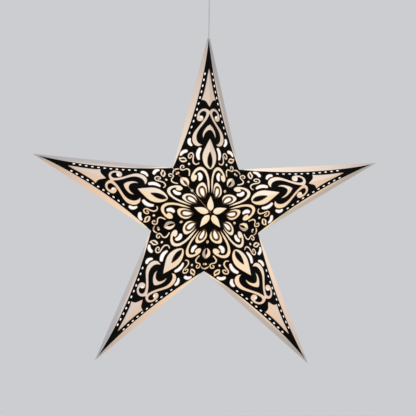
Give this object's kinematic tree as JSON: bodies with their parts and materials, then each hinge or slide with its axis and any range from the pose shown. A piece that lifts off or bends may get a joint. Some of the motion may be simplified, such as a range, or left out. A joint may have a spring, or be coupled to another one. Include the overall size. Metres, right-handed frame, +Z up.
{
  "type": "folded paper star lantern",
  "caption": "Hanging five-pointed star lantern folded from printed, punched card, lit by a bulb inside and hung from the ceiling by one cord through its upper point.",
  "frame": {"origin": "middle of the ceiling bracket's upper face, where it lies on the ceiling", "axes": "+Z up along the cord, -Y towards the viewer of the printed face, +X to that viewer's right"},
  "size_m": [0.6002, 0.179, 0.6852],
  "materials": {
    "printed_card": "matt card, black print on the front",
    "backing_paper": "translucent tissue",
    "grip_tape": "woven",
    "white_plastic": "satin",
    "opal_glass": "opal, satin",
    "brass": "bright",
    "holder_core": "matt",
    "holder_plastic": "gloss",
    "clear_grip": "natural nylon",
    "cord_sleeve": "soft plastic sheath",
    "zinc_steel": "zinc plated",
    "zinc_screw": "zinc plated"
  },
  "bodies": {
    "root": {"arm_top": "printed_card", "arm_upper_right": "printed_card", "arm_lower_right": "printed_card", "arm_lower_left": "printed_card", "arm_upper_left": "printed_card", "backing_top": "backing_paper", "backing_upper_right": "backing_paper", "backing_lower_right": "backing_paper", "backing_lower_left": "backing_paper", "backing_upper_left": "backing_paper", "closing_pads_hook": "grip_tape", "closing_pads_loop": "grip_tape", "cord_stopper": "white_plastic", "led_bulb": "opal_glass", "screw_shell": "brass", "centre_contact": "brass", "holder_core": "holder_core", "terminal_screws_holder": "zinc_screw", "holder_sleeve": "holder_plastic", "holder_cap": "holder_plastic", "cord_grip": "clear_grip", "hanging_cord": "cord_sleeve", "bracket": "zinc_steel", "ceiling_cup": "white_plastic", "cup_screws": "zinc_screw", "terminal_block": "clear_grip", "terminal_screws_ceiling": "brass", "cord_bush": "white_plastic", "bush_nut": "white_plastic"}
  },
  "joints": []
}
